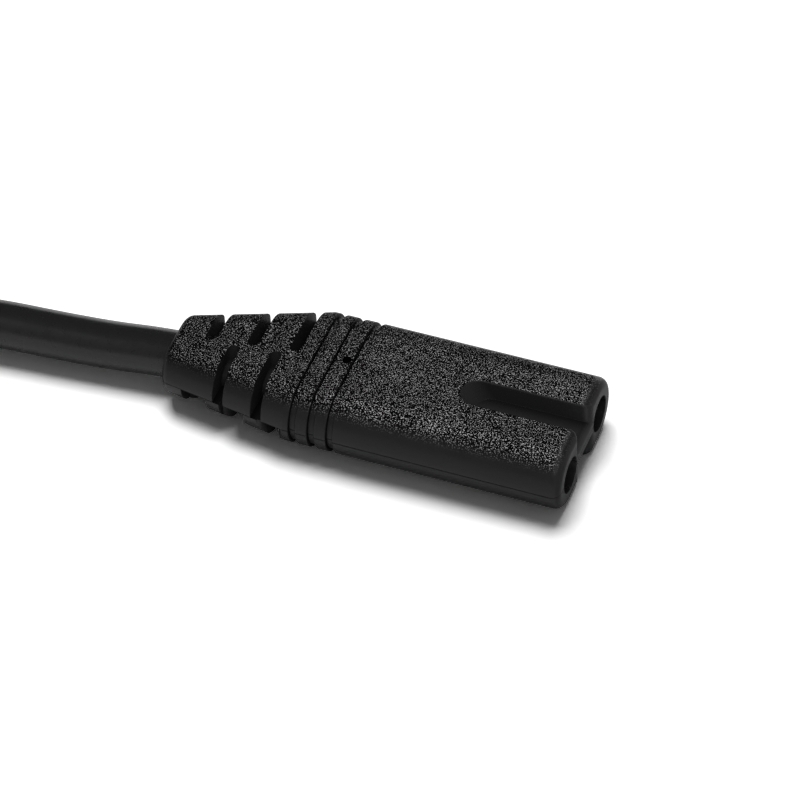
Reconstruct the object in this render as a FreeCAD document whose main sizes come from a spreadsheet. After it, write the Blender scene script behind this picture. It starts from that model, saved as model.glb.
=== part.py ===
"""Figure eight power connector with its cord, folded into a hank, and a flat two-pin plug.

The connector lies flat. +X points out of its mating face, +Y is across the two pin holes and
+Z is up. The origin is at the middle of the connector's underside. All sizes are in millimetres.
"""
import FreeCAD, Part
import math
import os
import Sketcher
from FreeCAD import Placement, Rotation, Vector

# Driving sizes: name, value and what it measures
SIZES = [
    ("connector_length", 42.3, "mating face to the rear end of the strain relief"),
    ("pin_pitch", 8.6, "between the two pin holes"),
    ("lobe_radius", 3.52, "round sides of the figure eight"),
    ("front_edge_radius", 0.9, "rounding of the mating face's rim"),
    ("waist_width", 3.25, "groove between the lobes"),
    ("waist_length", 12.65, "groove between the lobes, from the face"),
    ("waist_ramp", 1.3, "sloping rear end of the groove between the lobes"),
    ("web_thickness", 2.6, "wall left between the two waist grooves"),
    ("waist_edge_radius", 0.25, "rounding of the groove's upper edges"),
    ("ring_setback", 23.55, "face to the middle of the first ring groove"),
    ("ring_pitch", 1.95, "between ring grooves"),
    ("ring_width", 0.6, "ring groove"),
    ("ring_depth", 0.35, "ring groove"),
    ("ring_edge_radius", 0.18, "rounding of the lands beside a ring groove"),
    ("locator_diameter", 0.95, "mark of the mould's locating pin"),
    ("locator_depth", 0.9, "mark of the mould's locating pin"),
    ("relief_length", 13.9, "slotted strain relief"),
    ("relief_rear_width", 8.4, "strain relief at its rear end"),
    ("relief_rear_height", 5.9, "strain relief at its rear end"),
    ("relief_lean", 1.35, "rear end of the strain relief off the middle, to the near side"),
    ("rear_edge_radius", 0.9, "rounding of the relief's rear edge"),
    ("far_slot_setback", 1.5, "front of the relief to the first slot of the far row"),
    ("near_slot_setback", 3.0, "front of the relief to the first slot of the near row"),
    ("slot_pitch", 4.3, "between slots of one row"),
    ("slot_width", 1.2, "relief slot"),
    ("far_slot_overrun", 0.35, "closed end of a far slot past the relief's middle"),
    ("near_slot_gap", 0.7, "closed end of a near slot short of the relief's middle"),
    ("slot_mouth_radius", 0.8, "rounding of a far slot where it opens at the side"),
    ("spine_width", 5.6, "core of the relief that the slots leave standing"),
    ("spine_height", 3.2, "core of the relief that the slots leave standing"),
    ("mouth_radius", 1.87, "pin hole in the mating face"),
    ("mouth_depth", 3.2, "pin hole in the mating face, down to the carrier"),
    ("carrier_wall", 0.8, "carrier round each contact"),
    ("carrier_web", 1.8, "carrier between its two barrels"),
    ("lip_length", 0.8, "carrier's front lip that stops the contact"),
    ("lip_radius", 1.4, "hole in the carrier's front lip"),
    ("contact_bore_radius", 1.2, "contact's bore, for a 2.36 mm pin"),
    ("contact_wall", 0.35, "contact's sleeve"),
    ("contact_bore_length", 10.0, "contact's bore"),
    ("contact_back_wall", 0.6, "solid end of the contact's bore"),
    ("contact_slit", 0.4, "slit between the contact's spring fingers"),
    ("contact_slit_length", 6.0, "slit between the contact's spring fingers"),
    ("crimp_wall", 0.4, "crimp barrel behind the contact"),
    ("crimp_length", 4.0, "crimp barrel behind the contact"),
    ("crimp_back_wall", 0.4, "solid end of the crimp barrel"),
    ("conductor_diameter", 1.0, "bundle of copper strands in one core"),
    ("core_diameter", 2.2, "insulated core"),
    ("core_pitch", 2.4, "between the two cores in the cord"),
    ("cord_diameter", 4.9, "round cord"),
    ("jacket_entry", 3.4, "cord's jacket inside the relief"),
    ("cord_straight", 4.1, "straight stretch of the cord behind the relief"),
    ("hank_near_x", -77.0, "middle of the hank's fold next to the connector"),
    ("hank_middle_y", 14.2, "middle of the hank"),
    ("hank_run", 60.3, "straight part of the hank's turns"),
    ("hank_entry", 14.6, "near fold's middle to the end where the cord runs in"),
    ("hank_fold_radius", 14.7, "middle of the innermost turns at a fold"),
    ("tie_thickness", 0.8, "strap round the hank"),
    ("tie_width", 10.0, "strap round the hank"),
    ("plug_setback", 63.3, "near fold's middle to the plug's face"),
    ("plug_offset", 13.4, "plug's axis from the hank's middle, to the near side"),
    ("plug_width", 35.3, "plug's face, before its edges are rounded"),
    ("plug_height", 13.7, "plug's face"),
    ("plug_crown", 21.0, "flat top of the plug's six-sided face"),
    ("plug_front_length", 15.0, "straight front of the plug"),
    ("plug_taper_length", 15.0, "tapered back of the plug"),
    ("plug_rear_width", 14.0, "rear end of the plug's taper"),
    ("plug_rear_height", 9.6, "rear end of the plug's taper"),
    ("plug_rear_crown", 7.0, "flat top at the rear end of the plug's taper"),
    ("plug_edge_radius", 1.2, "rounding of the plug's long edges"),
    ("plug_relief_length", 16.0, "plug's strain relief"),
    ("plug_relief_front_radius", 4.4, "plug's strain relief at the plug"),
    ("plug_relief_rear_radius", 3.3, "plug's strain relief at its end"),
    ("plug_relief_slot", 1.1, "ring slot in the plug's strain relief"),
    ("plug_relief_pitch", 3.2, "between ring slots in the plug's strain relief"),
    ("plug_jacket_entry", 10.7, "cord's jacket inside the plug"),
    ("plug_pin_pitch", 18.6, "between the plug's pins"),
    ("plug_pin_radius", 2.0, "bare end of a plug pin"),
    ("plug_pin_length", 19.0, "plug pin in front of the plug's face"),
    ("shank_radius", 1.5, "plug pin inside its sleeve and its bridge"),
    ("sleeve_radius", 1.9, "insulating sleeve of a plug pin"),
    ("sleeve_length", 10.0, "insulating sleeve of a plug pin, in front of the face"),
    ("bridge_setback", 3.0, "plug's face to its bridge"),
    ("bridge_length", 6.0, "bridge that holds the plug's pins"),
    ("bridge_wall", 1.7, "bridge round each plug pin"),
    ("plug_tail_length", 3.0, "plug pin behind the bridge, where its core is joined"),
    ("plug_pin_tip", 1.0, "tapered tip of a plug pin"),
    ("plug_pin_tip_radius", 1.3, "end of a plug pin's tapered tip"),
    ("plug_bare_length", 2.0, "bare conductor behind a plug pin"),
    ("core_lead", 3.4, "straight start of a core before it turns to the middle"),
    ("core_slant", 6.5, "slanting stretch of a core in the connector, along X"),
    ("plug_core_slant", 11.5, "slanting stretch of a core in the plug, along X"),
]

RING_COUNT = 3
TOP_FAR_SLOTS = 3
TOP_NEAR_SLOTS = 2
HANK_COLUMNS = 2
HANK_LAYERS = 3
PLUG_RELIEF_RINGS = 4
SIDES = {"left": 1, "right": -1}
ARC_SHARE = 0.45
CLEAR = 1.0
NEAR = 0.01

# Route of the cord from behind the relief to the hank: x, y and z of each point
LEAD_POINTS = [
    (-33.0, -1.5, 2.75),
    (-40.5, -2.2, 2.45),
    (-48.0, -3.8, 2.60),
    (-55.0, -5.4, 3.25),
]

# Route of the cord from inside the hank's top layer to the plug
TAIL_POINTS = [
    (-107.4, 28.9, 10.60),
    (-95.4, 28.9, 13.40),
    (-83.1, 33.6, 17.40),
    (-69.5, 33.6, 18.10),
    (-59.9, 24.0, 18.00),
    (-59.9, 10.4, 18.40),
    (-69.5, 0.8, 19.80),
    (-83.1, 0.9, 21.60),
]

doc = FreeCAD.newDocument("FigureEightConnector")
sheet = doc.addObject("Spreadsheet::Sheet", "Sizes")
for row, (name, value, meaning) in enumerate(SIZES, start=1):
    sheet.set("A%d" % row, meaning)
    sheet.set("B%d" % row, str(value))
    sheet.setAlias("B%d" % row, name)
doc.recompute()


def size(name):
    """Value of one named size."""
    return float(sheet.get(name))


def bind(item, bindings):
    """Tie properties of an object to expressions in the named sizes."""
    for target, expression in bindings.items():
        item.setExpression(target, expression)


def cell(words):
    """Expression in which each named size is read from the sheet."""
    names = {name for name, value, meaning in SIZES}
    parts = words.replace("(", " ( ").replace(")", " ) ").split()
    return " ".join("Sizes." + part if part in names else part for part in parts)


def at(item, x="0", y="0", z="0"):
    """Tie an object's place to expressions."""
    bind(item, {"Placement.Base.x": cell(x), "Placement.Base.y": cell(y), "Placement.Base.z": cell(z)})
    return item


# Solid primitives and booleans
def rod(name, radius, length, x, y, z):
    """Cylinder that runs from its place towards +X."""
    item = doc.addObject("Part::Cylinder", name)
    item.Placement = Placement(Vector(), Rotation(Vector(0, 1, 0), 90))
    bind(item, {"Radius": cell(radius), "Height": cell(length)})
    return at(item, x, y, z)


def block(name, length, width, height, x, y, z):
    """Box with its lowest corner at its place."""
    item = doc.addObject("Part::Box", name)
    bind(item, {"Length": cell(length), "Width": cell(width), "Height": cell(height)})
    return at(item, x, y, z)


def fuse(name, items):
    """Union of objects."""
    item = doc.addObject("Part::MultiFuse", name)
    item.Shapes = items
    return item


def cut(name, base, tools):
    """One object less the union of others."""
    item = doc.addObject("Part::Cut", name)
    item.Base = base
    item.Tool = tools[0] if len(tools) == 1 else fuse(name + "_tools", tools)
    return item


# Sketches and features of a body
def new_body(name):
    """Empty body."""
    return doc.addObject("PartDesign::Body", name)


def origin(body, role):
    """Plane or axis of a body's own origin."""
    return next(item for item in body.Origin.OriginFeatures if item.Role == role)


def new_sketch(body, role, name, offset):
    """Sketch parallel to one of the body's planes."""
    sketch = body.newObject("Sketcher::SketchObject", name)
    sketch.AttachmentSupport = (origin(body, role), [""])
    sketch.MapMode = "FlatFace"
    bind(sketch, {"AttachmentOffset.Base.z": cell(offset)})
    return sketch


def constrain(sketch, constraint, name=None, expression=None):
    """Add a constraint and tie it to an expression where one is given."""
    index = sketch.addConstraint(constraint)
    if name:
        sketch.renameConstraint(index, name)
        sketch.setExpression("Constraints." + name, cell(expression))


def value_of(words):
    """Number that an expression in the named sizes has now."""
    return float(sheet.evalExpression(cell(words).replace("Sizes.", "")))


def draw_stadium(sketch, prefix, pitch, radius):
    """Two half circles about points a pitch apart, joined by straight lines."""
    first = sketch.GeometryCount
    half = value_of(pitch) / 2
    round_off = value_of(radius)
    up = Vector(0, 0, 1)
    right_circle = Part.Circle(Vector(half, 0, 0), up, round_off)
    left_circle = Part.Circle(Vector(-half, 0, 0), up, round_off)
    sketch.addGeometry(Part.ArcOfCircle(right_circle, -math.pi / 2, math.pi / 2))
    sketch.addGeometry(Part.LineSegment(Vector(half, round_off, 0), Vector(-half, round_off, 0)))
    sketch.addGeometry(Part.ArcOfCircle(left_circle, math.pi / 2, 3 * math.pi / 2))
    sketch.addGeometry(Part.LineSegment(Vector(-half, -round_off, 0), Vector(half, -round_off, 0)))
    right, top, left, bottom = range(first, first + 4)
    for one, other in ((right, top), (top, left), (left, bottom), (bottom, right)):
        constrain(sketch, Sketcher.Constraint("Tangent", one, 2, other, 1))
    constrain(sketch, Sketcher.Constraint("Equal", right, left))
    constrain(sketch, Sketcher.Constraint("PointOnObject", right, 3, -1))
    constrain(sketch, Sketcher.Constraint("Symmetric", right, 3, left, 3, -1, 1))
    spread = Sketcher.Constraint("DistanceX", left, 3, right, 3, 2 * half)
    constrain(sketch, spread, prefix + "_pitch", pitch)
    constrain(sketch, Sketcher.Constraint("Radius", right, round_off), prefix + "_radius", radius)


def draw_circle(sketch, name, x, radius):
    """Circle on the sketch's horizontal axis."""
    index = sketch.addGeometry(Part.Circle(Vector(value_of(x), 0, 0), Vector(0, 0, 1), value_of(radius)))
    constrain(sketch, Sketcher.Constraint("PointOnObject", index, 3, -1))
    place = Sketcher.Constraint("DistanceX", -1, 1, index, 3, value_of(x))
    constrain(sketch, place, name + "_x", x)
    constrain(sketch, Sketcher.Constraint("Radius", index, value_of(radius)), name + "_radius", radius)


def pad(body, name, sketch, length):
    """Solid raised from a sketch along the sketch's own direction."""
    feature = body.newObject("PartDesign::Pad", name)
    feature.Profile = sketch
    bind(feature, {"Length": cell(length)})
    return feature


def pocket(body, name, sketch, depth):
    """Cut sunk from a sketch against the sketch's own direction."""
    feature = body.newObject("PartDesign::Pocket", name)
    feature.Profile = sketch
    bind(feature, {"Length": cell(depth)})
    return feature


def loft(body, name, sketches):
    """Straight solid from one sketch to the next."""
    feature = body.newObject("PartDesign::AdditiveLoft", name)
    feature.Profile = sketches[0]
    feature.Sections = sketches[1:]
    feature.Ruled = True
    return feature


def round_edges(body, name, radius, chosen):
    """Fillet on the edges of the body so far for which chosen is true."""
    doc.recompute()
    base = body.Tip
    edges = ["Edge%d" % n for n, edge in enumerate(base.Shape.Edges, start=1) if chosen(edge)]
    feature = body.newObject("PartDesign::Fillet", name)
    feature.Base = (base, edges)
    bind(feature, {"Radius": cell(radius)})
    return feature


def flat_at(edge, x):
    """Whether an edge lies in the plane at x."""
    box = edge.BoundBox
    return abs(box.XMin - x) < NEAR and abs(box.XMax - x) < NEAR


# Places along the connector
FACE = "connector_length / 2"
REAR = "0 - connector_length / 2"
RELIEF_FRONT = "( relief_length - connector_length / 2 )"
HALF_WIDTH = "( pin_pitch / 2 + lobe_radius )"
ABOVE = "lobe_radius + %g" % CLEAR


def relief_share(x):
    """How far x is along the strain relief, from 0 at its front to 1 at its rear."""
    return (value_of(RELIEF_FRONT) - x) / size("relief_length")


def relief_middle(x):
    """Middle of the leaning strain relief at x."""
    return -size("relief_lean") * relief_share(x)


def half_width_at(x):
    """Half width of the strain relief at x."""
    front = value_of(HALF_WIDTH)
    return front + relief_share(x) * (size("relief_rear_width") / 2 - front)


def draw_near_slot(sketch, x):
    """Straight slot with a round closed end, open at the relief's near side."""
    half = size("slot_width") / 2
    tip = relief_middle(x) - size("near_slot_gap")
    outside = -value_of(HALF_WIDTH) - CLEAR
    left = [Vector(x - half, tip - half, 0), Vector(x - half, outside, 0)]
    right = [Vector(x + half, tip - half, 0), Vector(x + half, outside, 0)]
    sketch.addGeometry(Part.Arc(left[0], Vector(x, tip, 0), right[0]))
    sketch.addGeometry(Part.LineSegment(right[0], right[1]))
    sketch.addGeometry(Part.LineSegment(right[1], left[1]))
    sketch.addGeometry(Part.LineSegment(left[1], left[0]))


def draw_far_slot(sketch, x):
    """Slot with a round closed end and a mouth that opens out at the relief's far side."""
    half = size("slot_width") / 2
    mouth = size("slot_mouth_radius")
    tip = relief_middle(x) - size("far_slot_overrun")
    flare = relief_middle(x) + half_width_at(x) - mouth
    outside = value_of(HALF_WIDTH) + CLEAR
    diagonal = mouth * (1 - math.sqrt(0.5))
    drop = mouth * math.sqrt(0.5)
    left = [Vector(x - half, tip + half, 0), Vector(x - half, flare, 0),
            Vector(x - half - diagonal, flare + drop, 0),
            Vector(x - half - mouth, flare + mouth, 0), Vector(x - half - mouth, outside, 0)]
    right = [Vector(2 * x - point.x, point.y, 0) for point in left]
    round_end = Part.Arc(left[0], Vector(x, tip, 0), right[0])
    outline = [round_end, Part.LineSegment(right[0], right[1]), Part.Arc(*right[1:4]),
               Part.LineSegment(right[3], right[4]), Part.LineSegment(right[4], left[4]),
               Part.LineSegment(left[4], left[3]), Part.Arc(*left[3:0:-1]), Part.LineSegment(left[1], left[0])]
    for edge in outline:
        sketch.addGeometry(edge)


def draw_waist(sketch, length):
    """Outline of the groove between the lobes: open at the face, round at its rear end."""
    half = size("waist_width") / 2
    face = value_of(FACE)
    tip = face + CLEAR
    bend = face - length + half
    corners = [Vector(bend, half, 0), Vector(tip, half, 0), Vector(tip, -half, 0), Vector(bend, -half, 0)]
    sketch.addGeometry(Part.LineSegment(corners[0], corners[1]))
    sketch.addGeometry(Part.LineSegment(corners[1], corners[2]))
    sketch.addGeometry(Part.LineSegment(corners[2], corners[3]))
    sketch.addGeometry(Part.Arc(corners[3], Vector(bend - half, 0, 0), corners[0]))


def on_ring_land(edge, top):
    """Whether an edge is a rim of a ring groove on the outside of the grip."""
    box = edge.BoundBox
    reach = max(abs(box.ZMin), abs(box.ZMax))
    flat = box.XLength < NEAR and abs(reach - top) < NEAR
    first = value_of(FACE + " - ring_setback + ring_width")
    return flat and value_of(RELIEF_FRONT) + NEAR < box.XMin < first


def on_waist_rim(edge, top):
    """Whether an edge is on the upper or lower rim of a waist groove."""
    box = edge.BoundBox
    rim = abs(abs(box.ZMin) - top) < NEAR and box.ZLength < NEAR
    inner = max(abs(box.YMin), abs(box.YMax)) < size("waist_width") / 2 + NEAR
    return rim and inner and box.XLength > NEAR


def make_overmould():
    """Moulded body: figure eight nose, ringed grip and slotted strain relief in one piece."""
    body = new_body("overmould")
    at(body, z="lobe_radius")

    section = new_sketch(body, "YZ_Plane", "nose_section", RELIEF_FRONT)
    draw_stadium(section, "nose", "pin_pitch", "lobe_radius")
    pad(body, "nose", section, "connector_length - relief_length")

    front = new_sketch(body, "YZ_Plane", "relief_front", RELIEF_FRONT)
    draw_stadium(front, "front", "pin_pitch", "lobe_radius")
    rear = new_sketch(body, "YZ_Plane", "relief_rear", REAR)
    draw_stadium(rear, "rear", "relief_rear_width - relief_rear_height", "relief_rear_height / 2")
    bind(rear, {"AttachmentOffset.Base.x": cell("0 - relief_lean")})
    loft(body, "relief", [front, rear])

    slope = size("waist_ramp") / value_of("lobe_radius - web_thickness / 2")
    waist_top = new_sketch(body, "XY_Plane", "waist_top", ABOVE)
    draw_waist(waist_top, size("waist_length") + slope * CLEAR)
    waist_floor = new_sketch(body, "XY_Plane", "waist_floor", "web_thickness / 2")
    draw_waist(waist_floor, size("waist_length") - size("waist_ramp"))
    upper = body.newObject("PartDesign::SubtractiveLoft", "upper_waist")
    upper.Profile = waist_top
    upper.Sections = [waist_floor]
    upper.Ruled = True
    both = body.newObject("PartDesign::Mirrored", "waists")
    both.Originals = [upper]
    both.MirrorPlane = (origin(body, "XY_Plane"), [""])
    body.Tip = both

    top = size("lobe_radius")
    face = value_of(FACE)
    round_edges(body, "waist_edges", "waist_edge_radius", lambda edge: on_waist_rim(edge, top))
    round_edges(body, "front_rim", "front_edge_radius", lambda edge: flat_at(edge, face))
    back = value_of(REAR)
    round_edges(body, "rear_rim", "rear_edge_radius", lambda edge: flat_at(edge, back))

    slots = new_sketch(body, "XY_Plane", "slot_outlines", ABOVE)
    relief_front = value_of(RELIEF_FRONT)
    for number in range(TOP_FAR_SLOTS):
        draw_far_slot(slots, relief_front - size("far_slot_setback") - number * size("slot_pitch"))
    for number in range(TOP_NEAR_SLOTS):
        draw_near_slot(slots, relief_front - size("near_slot_setback") - number * size("slot_pitch"))
    top_slots = pocket(body, "top_slots", slots, ABOVE)
    all_slots = body.newObject("PartDesign::PolarPattern", "slots")
    all_slots.Originals = [top_slots]
    all_slots.Axis = (origin(body, "X_Axis"), [""])
    all_slots.Angle = 360
    all_slots.Occurrences = 2
    body.Tip = all_slots

    spine_section = new_sketch(body, "YZ_Plane", "spine_section", REAR + " + rear_edge_radius")
    draw_stadium(spine_section, "spine", "spine_width - spine_height", "spine_height / 2")
    bind(spine_section, {"AttachmentOffset.Base.x": cell("0 - relief_lean")})
    pad(body, "spine", spine_section, "relief_length - rear_edge_radius")

    ring = new_sketch(body, "YZ_Plane", "ring_section", FACE + " - ring_setback + ring_width / 2")
    draw_stadium(ring, "inner", "pin_pitch", "lobe_radius - ring_depth")
    draw_stadium(ring, "outer", "pin_pitch", ABOVE)
    first_ring = pocket(body, "first_ring", ring, "ring_width")
    rings = body.newObject("PartDesign::LinearPattern", "rings")
    rings.Originals = [first_ring]
    rings.Direction = (origin(body, "X_Axis"), [""])
    rings.Reversed = True
    rings.Occurrences = RING_COUNT
    bind(rings, {"Length": cell("ring_pitch * %d" % (RING_COUNT - 1))})
    body.Tip = rings
    round_edges(body, "ring_lands", "ring_edge_radius", lambda edge: on_ring_land(edge, top))

    mark = new_sketch(body, "XY_Plane", "locator_outline", "lobe_radius")
    draw_circle(mark, "locator", FACE + " - ring_setback - ring_pitch / 2", "locator_diameter / 2")
    pocket(body, "locator", mark, "locator_depth")

    mouths = new_sketch(body, "YZ_Plane", "mouth_outlines", FACE)
    draw_circle(mouths, "left", "pin_pitch / 2", "mouth_radius")
    draw_circle(mouths, "right", "0 - pin_pitch / 2", "mouth_radius")
    pocket(body, "mouths", mouths, "mouth_depth")
    return body


# Places in the connector and in the plug
CONTACT_MOUTH = FACE + " - mouth_depth - lip_length"
SLEEVE_LENGTH = "( contact_bore_length + contact_back_wall )"
SLEEVE_RADIUS = "( contact_bore_radius + contact_wall )"
CRIMP_LENGTH = "( crimp_length + crimp_back_wall )"
CRIMP_END = CONTACT_MOUTH + " - " + SLEEVE_LENGTH + " - " + CRIMP_LENGTH
CARRIER_LENGTH = "( lip_length + " + SLEEVE_LENGTH + " )"
JACKET_END = REAR + " + jacket_entry"
HANK_HEIGHT = "cord_diameter * %d" % HANK_LAYERS
HANK_REACH = "( hank_fold_radius + cord_diameter * %s )" % (HANK_COLUMNS - 0.5)
HANK_SIDE = "hank_middle_y - " + HANK_REACH
PLUG_X = "hank_near_x - plug_setback"
PLUG_Y = "hank_middle_y - plug_offset"
PLUG_Z = "( tie_thickness + " + HANK_HEIGHT + " + plug_height / 2 )"
PLUG_REAR = PLUG_X + " + plug_front_length + plug_taper_length + plug_relief_length"
PLUG_JACKET_END = PLUG_REAR + " - plug_jacket_entry"
PIN_TAIL_END = PLUG_X + " + bridge_setback + bridge_length + plug_tail_length"
AXIS = "lobe_radius"


def beside(pitch, sign):
    """Expression for a place half a pitch to one side."""
    return "%d * %s / 2" % (sign, pitch)


# Carrier and contacts of the connector
def make_carrier():
    """Two barrels joined by a web. Its front lip keeps the contacts from being pulled forward."""
    back = FACE + " - mouth_depth - " + CARRIER_LENGTH
    barrels = []
    holes = []
    for side, sign in SIDES.items():
        y = beside("pin_pitch", sign)
        barrels.append(rod("barrel_" + side, SLEEVE_RADIUS + " + carrier_wall", CARRIER_LENGTH, back, y, AXIS))
        holes.append(rod("seat_" + side, SLEEVE_RADIUS, SLEEVE_LENGTH, back, y, AXIS))
        holes.append(rod("lip_hole_" + side, "lip_radius", "lip_length", CONTACT_MOUTH, y, AXIS))
    web = block("carrier_web_block", CARRIER_LENGTH, "pin_pitch", "carrier_web",
                back, "0 - pin_pitch / 2", AXIS + " - carrier_web / 2")
    envelope = fuse("carrier_envelope", barrels + [web])
    return envelope, cut("contact_carrier", envelope, holes)


def make_contact(side, sign):
    """Turned socket contact: slit spring sleeve in front, crimp barrel behind."""
    y = beside("pin_pitch", sign)
    sleeve = rod("sleeve_" + side, SLEEVE_RADIUS, SLEEVE_LENGTH, CONTACT_MOUTH + " - " + SLEEVE_LENGTH, y, AXIS)
    barrel = rod("crimp_" + side, "conductor_diameter / 2 + crimp_wall", CRIMP_LENGTH, CRIMP_END, y, AXIS)
    bore = rod("bore_" + side, "contact_bore_radius", "contact_bore_length",
               CONTACT_MOUTH + " - contact_bore_length", y, AXIS)
    wire_hole = rod("wire_hole_" + side, "conductor_diameter / 2", "crimp_length", CRIMP_END, y, AXIS)
    slit = block("slit_" + side, "contact_slit_length", "contact_slit", SLEEVE_RADIUS + " * 2",
                 CONTACT_MOUTH + " - contact_slit_length", y + " - contact_slit / 2", AXIS + " - " + SLEEVE_RADIUS)
    turned = fuse("turned_" + side, [sleeve, barrel])
    return cut("contact_" + side, turned, [bore, wire_hole, slit])


# Tubes along a route of straight runs joined by tangent arcs
def route_edges(points, name):
    """Straight runs joined by arcs as large as the runs allow."""
    edges = []
    start = points[0]
    radii = []
    for before, corner, after in zip(points, points[1:], points[2:]):
        into = (corner - before).normalize()
        out = (after - corner).normalize()
        turn = into.getAngle(out)
        reach = ARC_SHARE * min((corner - before).Length, (after - corner).Length)
        first = corner - into * reach
        last = corner + out * reach
        inward = (out - into).normalize()
        radius = reach / math.tan(turn / 2)
        middle = corner + inward * (radius / math.cos(turn / 2) - radius)
        edges.append(Part.LineSegment(start, first).toShape())
        edges.append(Part.Arc(first, middle, last).toShape())
        radii.append(round(radius, 1))
        start = last
    edges.append(Part.LineSegment(start, points[-1]).toShape())
    print("bend radii of", name, radii)
    return edges


def tube(name, points, radius):
    """Round solid along a route."""
    edges = route_edges(points, name)
    path = Part.Wire(edges)
    section = Part.Wire(Part.makeCircle(radius, points[0], points[1] - points[0]))
    item = doc.addObject("Part::Feature", name)
    item.Shape = path.makePipeShell([section], True, True)
    expected = math.pi * radius ** 2 * path.Length
    print("%s length %.1f, volume over section times length %.4f" % (name, path.Length, item.Shape.Volume / expected))
    return item


def make_core(prefix, side, points, bare):
    """Insulated core with its copper conductor. The conductor starts with a bare straight stretch."""
    insulation = tube(prefix + "insulation_" + side, points, size("core_diameter") / 2)
    strands = tube(prefix + "strands_" + side, points, size("conductor_diameter") / 2)
    conductor = fuse(prefix + "conductor_" + side, [strands, bare])
    core = cut(prefix + "core_" + side, insulation, [strands])
    return core, conductor


def connector_core_points(sign):
    """Route of a core from its crimp to the end of the jacket."""
    z = size("lobe_radius")
    start = value_of(CRIMP_END)
    wide = sign * size("pin_pitch") / 2
    narrow = sign * size("core_pitch") / 2 - size("relief_lean")
    turn = start - size("core_lead")
    return [Vector(start, wide, z), Vector(turn, wide, z), Vector(turn - size("core_slant"), narrow, z),
            Vector(value_of(JACKET_END), narrow, z)]


def plug_core_points(sign):
    """Route of a core from its plug pin to the end of the jacket."""
    middle = value_of(PLUG_Y)
    z = value_of(PLUG_Z)
    start = value_of(PIN_TAIL_END) + size("plug_bare_length")
    wide = middle + sign * size("plug_pin_pitch") / 2
    narrow = middle + sign * size("core_pitch") / 2
    turn = start + size("core_lead")
    return [Vector(start, wide, z), Vector(turn, wide, z), Vector(turn + size("plug_core_slant"), narrow, z),
            Vector(value_of(PLUG_JACKET_END), narrow, z)]


# Hank and its strap
def make_hank():
    """Outer shape of the folded turns, with the straight stretch where the cord runs in."""
    body = new_body("hank_turns")
    at(body, "hank_near_x - hank_run / 2", "hank_middle_y", "tie_thickness")
    outline = new_sketch(body, "XY_Plane", "hank_outline", "0")
    draw_stadium(outline, "outer", "hank_run", HANK_REACH)
    draw_stadium(outline, "inner", "hank_run", "hank_fold_radius - cord_diameter / 2")
    pad(body, "turns", outline, HANK_HEIGHT)
    entry = block("hank_entry_run", "hank_entry", "cord_diameter", "cord_diameter",
                  "hank_near_x", HANK_SIDE, "tie_thickness")
    return fuse("cord_hank", [body, entry])


def make_tie():
    """Strap wrapped once round the middle of the hank."""
    x = "hank_near_x - hank_run / 2 - tie_width / 2"
    width = HANK_REACH + " * 2"
    band = block("tie_band", "tie_width", width + " + tie_thickness * 2", HANK_HEIGHT + " + tie_thickness * 2",
                 x, HANK_SIDE + " - tie_thickness", "0")
    inside = block("tie_inside", "tie_width", width, HANK_HEIGHT, x, HANK_SIDE, "tie_thickness")
    return cut("hank_tie", band, [inside])


# Plug on the far end of the cord
def draw_hexagon(sketch, width, crown, height):
    """Six-sided outline with flat top and bottom, about the sketch's origin."""
    half, flat, up = (value_of(words) / 2 for words in (width, crown, height))
    corners = [Vector(half, 0, 0), Vector(flat, up, 0), Vector(-flat, up, 0),
               Vector(-half, 0, 0), Vector(-flat, -up, 0), Vector(flat, -up, 0)]
    for start, end in zip(corners, corners[1:] + corners[:1]):
        sketch.addGeometry(Part.LineSegment(start, end))
    for line in range(6):
        constrain(sketch, Sketcher.Constraint("Coincident", line, 2, (line + 1) % 6, 1))
    constrain(sketch, Sketcher.Constraint("PointOnObject", 0, 1, -1))
    constrain(sketch, Sketcher.Constraint("PointOnObject", 3, 1, -1))
    constrain(sketch, Sketcher.Constraint("DistanceX", -1, 1, 0, 1, half), "right", width + " / 2")
    constrain(sketch, Sketcher.Constraint("DistanceX", 3, 1, -1, 1, half), "left", width + " / 2")
    constrain(sketch, Sketcher.Constraint("DistanceX", -1, 1, 1, 1, flat), "crown", crown + " / 2")
    constrain(sketch, Sketcher.Constraint("DistanceY", -1, 1, 1, 1, up), "top", height + " / 2")
    constrain(sketch, Sketcher.Constraint("Symmetric", 1, 1, 2, 1, -2))
    constrain(sketch, Sketcher.Constraint("Symmetric", 1, 1, 4, 1, -1, 1))
    constrain(sketch, Sketcher.Constraint("Symmetric", 1, 1, 5, 1, -1))


def is_long_edge(edge):
    """Whether an edge runs along the plug."""
    return edge.BoundBox.XLength > NEAR


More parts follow.
